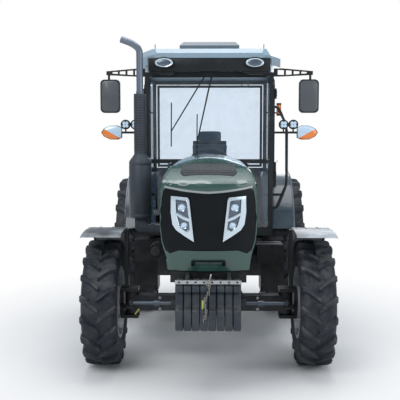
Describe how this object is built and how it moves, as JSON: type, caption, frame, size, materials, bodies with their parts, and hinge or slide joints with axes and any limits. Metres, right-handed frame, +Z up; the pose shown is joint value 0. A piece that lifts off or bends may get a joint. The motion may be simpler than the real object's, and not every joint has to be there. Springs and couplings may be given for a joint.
{
  "type": "farm tractor",
  "caption": "Four-wheel-drive farm tractor with a glazed cab, opening doors, hood, hatch and rear window, steered front axle and rear linkage.",
  "frame": {"origin": "on the ground, midway along the overall length, on the tractor's centre line", "axes": "+X to the tractor's own left, +Y to its rear (it faces -Y), +Z up"},
  "size_m": [2.276, 4.5, 3.074],
  "materials": {
    "cast_grey": "painted casting",
    "chassis_black": "satin",
    "weight_grey": "painted casting",
    "tank_plastic": "moulded",
    "radiator_core": "dull finned",
    "green_paint": "gloss",
    "grille_black": "satin",
    "lamp_silver": "silver",
    "exhaust_grey": "heat-resistant satin",
    "cab_black": "satin",
    "interior_grey": "grained",
    "tinted_glass": "lightly tinted",
    "roof_paint": "gloss",
    "visor_black": "gloss",
    "lamp_clear": "clear lens",
    "lamp_amber": "translucent",
    "seat_cloth": "woven",
    "steel_rod": "polished",
    "linkage_black": "satin",
    "tyre_rubber": "matte",
    "rim_silver": "satin"
  },
  "bodies": {
    "chassis": {"front_frame": "cast_grey", "front_axle": "cast_grey", "transmission": "cast_grey", "rear_axle": "cast_grey", "hitch_frame": "cast_grey", "drawbar": "cast_grey", "engine": "cast_grey", "weight_carrier": "chassis_black", "chin_panel": "chassis_black", "steps": "chassis_black", "side_boxes": "chassis_black", "front_weights": "weight_grey", "fuel_tanks": "tank_plastic", "radiator": "radiator_core", "rear_fenders": "green_paint", "exhaust": "exhaust_grey", "cab_frame": "cab_black", "cab_hinges": "cab_black", "mirrors": "cab_black", "lamp_rails": "cab_black", "wipers": "cab_black", "cab_floor": "interior_grey", "controls": "interior_grey", "cab_glass": "tinted_glass", "cab_roof": "roof_paint", "roof_visor": "visor_black", "work_lamps": "lamp_clear", "corner_lamps": "lamp_clear", "rear_lamps": "lamp_amber", "seat": "seat_cloth"},
    "hood": {"hood_shell": "green_paint", "grille_panel": "grille_black", "headlamps": "lamp_silver"},
    "left_door": {"door_left": "cab_black", "door_glass_left": "tinted_glass"},
    "right_door": {"door_right": "cab_black", "door_glass_right": "tinted_glass"},
    "rear_window": {"rear_window_frame": "cab_black", "rear_window_glass": "tinted_glass"},
    "hatch": {"roof_hatch": "roof_paint"},
    "steering_piston": {"steering_rod": "steel_rod"},
    "left_knuckle": {"knuckle_left": "chassis_black", "front_fender_left": "green_paint"},
    "right_knuckle": {"knuckle_right": "chassis_black", "front_fender_right": "green_paint"},
    "front_left_wheel": {"tyre_front_left": "tyre_rubber", "rim_front_left": "rim_silver"},
    "front_right_wheel": {"tyre_front_right": "tyre_rubber", "rim_front_right": "rim_silver"},
    "rear_left_wheel": {"tyre_rear_left": "tyre_rubber", "rim_rear_left": "rim_silver"},
    "rear_right_wheel": {"tyre_rear_right": "tyre_rubber", "rim_rear_right": "rim_silver"},
    "lifting_arms": {"lift_arms": "linkage_black"},
    "lower_linkage": {"lower_links": "linkage_black"},
    "upper_link": {"top_link": "linkage_black"}
  },
  "joints": [
    {"name": "hood_lift", "type": "hinge", "parent": "chassis", "child": "hood", "pos_m": [0, -0.04, 1.82], "axis": [-1, 0, 0], "range_deg": [0, 40]},
    {"name": "left_door_swing", "type": "hinge", "parent": "chassis", "child": "left_door", "pos_m": [0.756, 0.8, 2.1], "axis": [0, 0, 1], "range_deg": [0, 75]},
    {"name": "right_door_swing", "type": "hinge", "parent": "chassis", "child": "right_door", "pos_m": [-0.756, 0.8, 2.1], "axis": [0, 0, -1], "range_deg": [0, 75]},
    {"name": "rear_window_swing", "type": "hinge", "parent": "chassis", "child": "rear_window", "pos_m": [0, 1.466, 2.68], "axis": [1, 0, 0], "range_deg": [0, 40]},
    {"name": "hatch_lift", "type": "hinge", "parent": "chassis", "child": "hatch", "pos_m": [0, 0.844, 3.004], "axis": [-1, 0, 0], "range_deg": [0, 40]},
    {"name": "left_steer", "type": "hinge", "parent": "chassis", "child": "left_knuckle", "pos_m": [0.7, -1.1, 0.57], "axis": [0, 0, 1], "range_deg": [-35, 35]},
    {"name": "right_steer", "type": "hinge", "parent": "chassis", "child": "right_knuckle", "pos_m": [-0.7, -1.1, 0.57], "axis": [0, 0, 1], "range_deg": [-35, 35]},
    {"name": "steering_slide", "type": "slide", "parent": "chassis", "child": "steering_piston", "axis": [1, 0, 0], "range_m": [-0.104, 0.104]},
    {"name": "front_left_roll", "type": "hinge", "parent": "left_knuckle", "child": "front_left_wheel", "pos_m": [0.947, -1.1, 0.57], "axis": [1, 0, 0], "continuous": true},
    {"name": "front_right_roll", "type": "hinge", "parent": "right_knuckle", "child": "front_right_wheel", "pos_m": [-0.947, -1.1, 0.57], "axis": [1, 0, 0], "continuous": true},
    {"name": "rear_left_roll", "type": "hinge", "parent": "chassis", "child": "rear_left_wheel", "pos_m": [0.859, 1.25, 0.785], "axis": [1, 0, 0], "continuous": true},
    {"name": "rear_right_roll", "type": "hinge", "parent": "chassis", "child": "rear_right_wheel", "pos_m": [-0.859, 1.25, 0.785], "axis": [1, 0, 0], "continuous": true},
    {"name": "lower_links_lift", "type": "hinge", "parent": "chassis", "child": "lower_linkage", "pos_m": [0, 1.6053, 0.5], "axis": [1, 0, 0], "range_deg": [-15, 30]},
    {"name": "lift_arms_turn", "type": "hinge", "parent": "chassis", "child": "lifting_arms", "pos_m": [0, 1.5353, 0.955], "axis": [1, 0, 0], "range_deg": [-11.5, 22.5]},
    {"name": "top_link_swing", "type": "hinge", "parent": "chassis", "child": "upper_link", "pos_m": [0, 1.6003, 0.88], "axis": [1, 0, 0], "range_deg": [-30, 35]}
  ],
  "couplings": [
    {"joint": "right_steer", "follows": "left_steer", "ratio": 1},
    {"joint": "steering_slide", "follows": "left_steer", "m_per_rad": 0.17},
    {"joint": "lift_arms_turn", "follows": "lower_links_lift", "ratio": 0.745}
  ]
}
